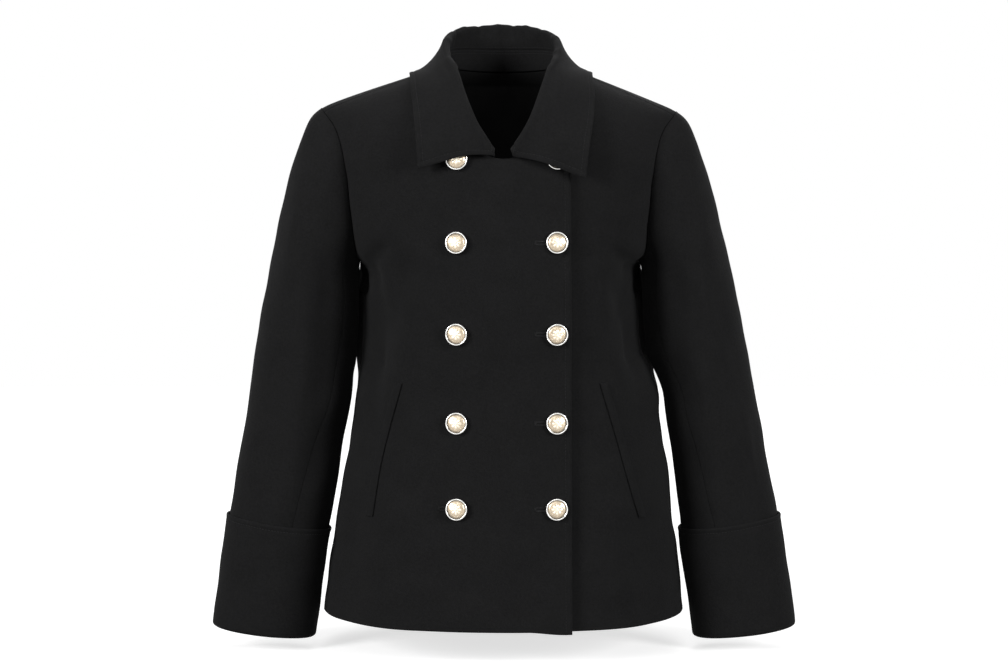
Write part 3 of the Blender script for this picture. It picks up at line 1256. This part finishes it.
frontSurface = surfaceOf(*panels["front_right"].values())
underSurface = surfaceOf(*panels["front_left"].values())
for side, inner, surface in (("right", 1, frontSurface), ("left", -1, underSurface)):
    c = weltCut
    heights, xs = np.array([z for _, z in c[side]])[::-1], np.array([x for x, _ in c[side]])[::-1]
    shares = np.linspace(0, 1, c["across"])
    points, outs = [], []
    for z in np.linspace(heights[0], heights[-1], c["steps"] + 1):
        outerX = float(smoothCurve(heights, xs, z))
        row = [onFront(surface, outerX + inner * c["width"] * share, z) for share in shares]
        crown = [math.sin(math.pi * share) * c["crown"] for share in shares]
        lift = c["lift"] + c["thickness"]
        points.append([place + out * (lift + high) for (place, out), high in zip(row, crown)])
        outs.append([out for _, out in row])
    wall = shapeWall(np.array(points), -np.array(outs), c["thickness"], allTurned)
    clothPiece("pocket_welt_" + side, wall, [wool])
print("neck strip and welts made")


# stitching
stitchCut = {
    "length": 0.0026, "spacing": 0.0034, "thickness": 0.00055, "variation": 0.12, "sink": 0.00008, "lift": 0.0002,
    # rows and columns that the topstitching leaves out
    "lapFrom": 2, "lapTo": -4, "leafFrom": 8, "leafCorner": 6,
    "neckFrom": 0.25, "neckTo": 0.75, "standRows": (-0.0050, -0.0020), "leafRow": 0.0022,
}


def stitchTree():
    tree = bpy.data.node_groups.new("stitchRow", "GeometryNodeTree")
    face = tree.interface
    face.new_socket("Geometry", in_out="INPUT", socket_type="NodeSocketGeometry")
    wide = stitchCut["thickness"]
    sizes = {"Spacing": stitchCut["spacing"], "Along": stitchCut["length"], "Across": wide, "Height": wide}
    for name, value in (*sizes.items(), ("Variation", stitchCut["variation"])):
        socket = face.new_socket(name, in_out="INPUT", socket_type="NodeSocketFloat")
        socket.default_value = value
    seed = face.new_socket("Seed", in_out="INPUT", socket_type="NodeSocketInt")
    seed.default_value = 3
    face.new_socket("Finish", in_out="INPUT", socket_type="NodeSocketMaterial")
    face.new_socket("Geometry", in_out="OUTPUT", socket_type="NodeSocketGeometry")
    start, end = tree.nodes.new("NodeGroupInput"), tree.nodes.new("NodeGroupOutput")
    spaced = addNode(tree, "GeometryNodeResampleCurve", mode="LENGTH")
    bead = addNode(tree, "GeometryNodeMeshUVSphere", {"Segments": 6, "Rings": 5, "Radius": 0.5})
    size = addNode(tree, "ShaderNodeCombineXYZ")
    shaped = addNode(tree, "GeometryNodeTransform")
    lay = addNode(tree, "FunctionNodeAlignRotationToVector", axis="Z")
    upright = {"Vector": (0.0, 0.0, 1.0)}
    stand = addNode(tree, "FunctionNodeAlignRotationToVector", upright, axis="X", pivot_axis="Z")
    tangent = addNode(tree, "GeometryNodeInputTangent")
    vary = addNode(tree, "FunctionNodeRandomValue", data_type="FLOAT")
    lowest = addNode(tree, "ShaderNodeMath", {0: 1.0}, operation="SUBTRACT")
    highest = addNode(tree, "ShaderNodeMath", {0: 1.0}, operation="ADD")
    placed = addNode(tree, "GeometryNodeInstanceOnPoints")
    real = addNode(tree, "GeometryNodeRealizeInstances")
    finish = addNode(tree, "GeometryNodeSetMaterial")
    lowShare, highShare = [socket for socket in vary.inputs if socket.type == "VALUE" and socket.enabled][:2]
    share = next(socket for socket in vary.outputs if socket.type == "VALUE" and socket.enabled)
    for source, target in (
        (start.outputs["Geometry"], spaced.inputs["Curve"]),
        (start.outputs["Spacing"], spaced.inputs["Length"]),
        (start.outputs["Across"], size.inputs["X"]),
        (start.outputs["Height"], size.inputs["Y"]),
        (start.outputs["Along"], size.inputs["Z"]),
        (bead.outputs["Mesh"], shaped.inputs["Geometry"]),
        (size.outputs[0], shaped.inputs["Scale"]),
        (tangent.outputs[0], lay.inputs["Vector"]),
        (start.outputs["Variation"], lowest.inputs[1]),
        (start.outputs["Variation"], highest.inputs[1]),
        (lowest.outputs[0], lowShare),
        (highest.outputs[0], highShare),
        (start.outputs["Seed"], vary.inputs["Seed"]),
        (spaced.outputs[0], placed.inputs["Points"]),
        (shaped.outputs[0], placed.inputs["Instance"]),
        (lay.outputs[0], stand.inputs["Rotation"]),
        (stand.outputs[0], placed.inputs["Rotation"]),
        (share, placed.inputs["Scale"]),
        (placed.outputs[0], real.inputs[0]),
        (real.outputs[0], finish.inputs["Geometry"]),
        (start.outputs["Finish"], finish.inputs["Material"]),
        (finish.outputs[0], end.inputs["Geometry"]),
    ):
        tree.links.new(source, target)
    return tree


stitchRow = stitchTree()


def stitches(name, runs, slot="wool", finish=None, **values):
    curve = bpy.data.curves.new(name + "_path", "CURVE")
    curve.dimensions = "3D"
    for run in runs:
        spline = curve.splines.new("POLY")
        spline.points.add(len(run) - 1)
        for point, place in zip(spline.points, run):
            point.co = (*place, 1.0)
    guide = bpy.data.objects.new(name + "_path", curve)
    scene.collection.objects.link(guide)
    modifier = guide.modifiers.new("stitchRow", "NODES")
    modifier.node_group = stitchRow
    wanted = {"Finish": finish or thread, **values}
    for item in stitchRow.interface.items_tree:
        if item.in_out == "INPUT" and item.name in wanted:
            modifier[item.identifier] = wanted[item.name]
    graph = bpy.context.evaluated_depsgraph_get()
    graph.update()
    mesh = bpy.data.meshes.new_from_object(guide.evaluated_get(graph))
    bpy.data.objects.remove(guide, do_unlink=True)
    mesh.shade_smooth()
    mesh.name = name
    made = bpy.data.objects.new(name, mesh)
    scene.collection.objects.link(made)
    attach(made, "root")
    return made


def runOn(path, first=0, last=None):
    line, facing = path
    lifted = line + facing * (stitchCut["thickness"] / 2 - stitchCut["sink"])
    return lifted[first:last]


# a place on the face of a wall, so far from its bottom edge, or from its top edge where run is below zero
def onWall(wall, column, run):
    line, facing = wall["outer"][:, column], -wall["inwards"][:, column]
    if run < 0:
        line, facing = line[::-1], facing[::-1]
    lengths = np.concatenate([[0], np.cumsum(np.linalg.norm(np.diff(line, axis=0), axis=1))])
    place, out = ([np.interp(abs(run), lengths, axis) for axis in values.T] for values in (line, facing))
    return np.array(place) + np.array(out) * stitchCut["lift"]


lapPath = bodyWalls["front_right"]["paths"]["right"]
stitches("lap_stitching", [runOn(lapPath, stitchCut["lapFrom"], stitchCut["lapTo"])])
leafPaths, leafFrom, corner = leafWall["paths"], stitchCut["leafFrom"], stitchCut["leafCorner"]
around = np.concatenate([
    runOn(leafPaths["left"], leafFrom, -corner),
    runOn(leafPaths["top"], corner, -corner),
    runOn(leafPaths["right"], leafFrom, -corner)[::-1],
])
stitches("collar_stitching", [around], Seed=5)
for side, wall in cuffWalls.items():
    ring = runOn(wall["paths"]["bottom"])
    stitches(f"cuff_{side}_stitching", [np.concatenate([ring, ring[:1]])], Seed=7)
rowsInside = []
for wall, fromSeam in (*((standWall, run) for run in stitchCut["standRows"]), (leafWall, stitchCut["leafRow"])):
    count = wall["outer"].shape[1]
    middle = range(int(count * stitchCut["neckFrom"]), int(count * stitchCut["neckTo"]))
    rowsInside.append(np.array([onWall(wall, column, fromSeam) for column in middle]))
stitches("neck_stitching", rowsInside, Seed=11)
print("stitching made")


# buttonholes
holeCut = {
    "reach": 0.0222, "plainReach": 0.0185, "past": 0.004, "gap": 0.0034, "stitch": 0.0020, "spacing": 0.00052,
    "thickness": 0.00048, "lift": 0.00012, "steps": 24, "tack": 0.0052, "tackLength": 0.0016, "tackLift": 0.0002,
}


def alongFront(fromX, toX, z, lift):
    run = []
    for x in np.linspace(fromX, toX, holeCut["steps"]):
        place, out = onFront(frontSurface, x, z)
        run.append(place + out * lift)
    return run


# short bars side by side along both lips, and a bar tack over the inner end
lips, tacks = [], []
middleX, spread, rowsZ = (buttonPlaces[key] for key in ("middleX", "spread", "rowsZ"))
holes = [(middleX + spread, z, holeCut["reach"]) for z in rowsZ[1:]]
holes.append((middleX - spread, rowsZ[4], holeCut["plainReach"]))
for x, z, reach in holes:
    for lip in (-1, 1):
        lips.append(alongFront(x - reach, x + holeCut["past"], z + lip * holeCut["gap"] / 2, holeCut["lift"]))
    end = x - reach
    tacks.append(alongFront(end - holeCut["tackLength"], end, z, holeCut["lift"] + holeCut["tackLift"]))
bars = {"Spacing": holeCut["spacing"], "Along": holeCut["thickness"], "Height": holeCut["thickness"]}
stitches("buttonhole_lips", lips, Across=holeCut["stitch"], Seed=13, **bars)
stitches("buttonhole_tacks", tacks, Across=holeCut["tack"], Seed=17, **bars)
print("buttonholes made")


# buttons
buttonCut = {
    "sides": 72, "shankRadius": 0.0014, "shankClear": 0.0005, "shankTop": -0.0002, "crown": 0.0047,
    "beads": 30, "beadAt": 0.0071, "beadHeight": 0.00385, "beadSize": 0.00042,
    "beadPath": 49, "beadVariation": 0.05,
    # the relief, a plain rosette: place, width and height as shares of its reach and height
    "petals": 8, "reliefHeight": 0.00075, "reliefReach": 0.0062,
    "outerPetals": (0.62, 0.22, 0.9), "innerPetals": (0.30, 0.12, 0.6), "boss": (0.13, 0.8),
}
# the turned profile, from the back of the disc: radius, height, finish (0 rim, 1 groove, 2 disc)
buttonProfile = (
    (0.0106, 0.0000, 0), (0.0114, 0.0001, 0), (0.0119, 0.0006, 0), (0.0120, 0.0014, 0), (0.0120, 0.0024, 0),
    (0.0118, 0.0032, 0), (0.0114, 0.0037, 0), (0.0109, 0.0038, 0), (0.0104, 0.0035, 0), (0.0100, 0.0029, 1),
    (0.0096, 0.0025, 1), (0.0092, 0.0026, 2), (0.0088, 0.0030, 2), (0.0082, 0.00335, 2), (0.0074, 0.00365, 2),
    (0.0066, 0.00392, 2), (0.0058, 0.00412, 2), (0.0050, 0.00430, 2), (0.0042, 0.00442, 2), (0.0034, 0.00452, 2),
    (0.0026, 0.00460, 2), (0.0018, 0.00466, 2), (0.0010, 0.00469, 2), (0.0004, 0.0047, 2),
)


def reliefAt(radius, turn):
    c = buttonCut
    share = radius / c["reliefReach"]
    (outerAt, outerWidth, outer), (innerAt, innerWidth, inner) = c["outerPetals"], c["innerPetals"]
    bossWidth, boss = c["boss"]
    petal = 0.5 + 0.5 * math.cos(turn * c["petals"])
    between = 0.5 + 0.5 * math.cos(turn * c["petals"] + math.pi)
    height = outer * (math.exp(-(((share - outerAt) / outerWidth) ** 2)) * petal)
    height += inner * (math.exp(-(((share - innerAt) / innerWidth) ** 2)) * between)
    return c["reliefHeight"] * (height + boss * math.exp(-((share / bossWidth) ** 2)))


def buttonObject(name, seat, outwards, shank):
    c = buttonCut
    axis = Vector(outwards).normalized()
    turnTo = axis.to_track_quat("Z", "Y").to_matrix()
    profile = [(c["shankRadius"], -shank, 0), (c["shankRadius"], c["shankTop"], 0), *buttonProfile]
    rings = []
    for radius, height, slot in profile:
        for side in range(c["sides"]):
            turn = 2 * math.pi * side / c["sides"]
            high = height + (reliefAt(radius, turn) if slot == 2 else 0.0)
            rings.append((radius * math.cos(turn), radius * math.sin(turn), high))
    points = [*rings, (0.0, 0.0, -shank), (0.0, 0.0, c["crown"] + reliefAt(0.0, 0.0))]
    faces, slots = [], []
    for ring in range(len(profile) - 1):
        for side in range(c["sides"]):
            following = (side + 1) % c["sides"]
            low, up = ring * c["sides"], (ring + 1) * c["sides"]
            faces.append((low + side, low + following, up + following, up + side))
            slots.append(profile[ring + 1][2])
    top = (len(profile) - 1) * c["sides"]
    for side in range(c["sides"]):
        following = (side + 1) % c["sides"]
        faces.append((len(points) - 2, following, side))
        slots.append(0)
        faces.append((top + side, top + following, len(points) - 1))
        slots.append(2)
    placed = [tuple(turnTo @ Vector(p) + Vector(seat)) for p in points]
    mesh = bpy.data.meshes.new(name + "_metal")
    mesh.from_pydata(placed, [], faces)
    for finish in (rimMetal, grooveMetal, discMetal):
        mesh.materials.append(finish)
    mesh.polygons.foreach_set("material_index", np.array(slots, np.int32))
    raised = [reliefAt(math.hypot(x, y), math.atan2(y, x)) / c["reliefHeight"] for x, y, _ in points]
    mesh.attributes.new("relief", "FLOAT", "POINT").data.foreach_set("value", raised)
    mesh.shade_smooth()
    made = bpy.data.objects.new(name + "_metal", mesh)
    scene.collection.objects.link(made)
    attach(made, "root")
    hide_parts(name)
    turns = np.linspace(0, 2 * math.pi, c["beadPath"])
    at, high = c["beadAt"], c["beadHeight"]
    ring = [Vector((at * math.cos(turn), at * math.sin(turn), high)) for turn in turns]
    return [tuple(turnTo @ place + Vector(seat)) for place in ring]


beadRings = []
face = buttonPlaces["face"]
for number, z in enumerate(rowsZ, start=1):
    for side, name in ((-1, "right"), (1, "left")):
        seat, outwards = onFront(frontSurface, middleX + side * spread, z)
        shank = face - buttonCut["shankClear"]
        if side > 0:
            shank += underSurface.ray_cast(Vector(seat), Vector(-outwards))[3]
        beadRings.append(buttonObject(f"button_{number}_{name}", seat + outwards * face, outwards, shank))
size = buttonCut["beadSize"] * 2
beads = {"Along": size, "Across": size, "Height": size, "Variation": buttonCut["beadVariation"]}
gap = 2 * math.pi * buttonCut["beadAt"] / buttonCut["beads"]
stitches("button_beads", beadRings, "button_metal", discMetal, Spacing=gap, **beads)
print("buttons made")


# floor, light and camera
studio = {
    "floorZ": cadBox[0][2] - 0.012, "floor": (0.66, 0.66, 0.66), "floorGrain": 0.985, "floorReach": 2.6,
    "glow": 0.70, "world": 1.0, "aim": (0, 0, -0.3),
    "lights": {
        "key": {"at": (-2.6, -2.0, 0.8), "size": 1.3, "power": 97},
        "fill": {"at": (2.6, -2.0, 0.7), "size": 1.3, "power": 80},
        "front": {"at": (-0.3, -3.0, 1.8), "size": 1.3, "power": 16},
        "top": {"at": (0.0, 0.5, 2.4), "size": 2.0, "power": 21},
        "back": {"at": (0.4, 2.6, 1.6), "size": 1.6, "power": 35},
    },
    "camera": {"at": (0.0, -3.087, 0.0), "aim": (0, 0, -0.288), "lens": 98.5, "sensor": 36.0},
}


def turnTowards(place, aim):
    return (Vector(aim) - Vector(place)).to_track_quat("-Z", "Y").to_euler()


def makeFloor():
    z, reach = studio["floorZ"], studio["floorReach"]
    points = [(x, y, z) for x, y in ((-reach, -reach), (reach, -reach), (reach, reach), (-reach, reach))]
    made, tree, shader = newMaterial("paleFloor")
    at = addNode(tree, "ShaderNodeTexCoord").outputs["Object"]
    grain = noiseNode(tree, at, 3.0, 2)
    colour = blendColours(tree, grain, shaded(studio["floor"], studio["floorGrain"]), studio["floor"])
    tree.links.new(colour, shader.inputs["Base Color"])
    setInputs(shader, {
        "Roughness": 0.9, "Specular IOR Level": 0.1,
        "Emission Color": (1, 1, 1, 1), "Emission Strength": studio["glow"],
    })
    floor = meshObject("floor", points, [(0, 1, 2, 3)], [made])
    floor.visible_diffuse = False  # only the lamps light the cloth


def areaLight(name):
    spec = studio["lights"][name]
    light = bpy.data.lights.new(name, "AREA")
    light.shape, light.size, light.energy = "DISK", spec["size"], spec["power"]
    made = bpy.data.objects.new(name, light)
    made.location = spec["at"]
    made.rotation_euler = turnTowards(spec["at"], studio["aim"])
    scene.collection.objects.link(made)


makeFloor()
for name in studio["lights"]:
    areaLight(name)
world = bpy.data.worlds.new("studio")
world.use_nodes = True
setInputs(world.node_tree.nodes["Background"], {"Color": (1, 1, 1, 1), "Strength": studio["world"]})
world.cycles_visibility.diffuse = False
scene.world = world

view = studio["camera"]
lens = bpy.data.cameras.new("camera")
lens.lens, lens.sensor_width, lens.sensor_fit = view["lens"], view["sensor"], "HORIZONTAL"
camera = bpy.data.objects.new("camera", lens)
camera.location = view["at"]
camera.rotation_euler = turnTowards(view["at"], view["aim"])
scene.collection.objects.link(camera)
scene.camera = camera
print("floor, light and camera made")
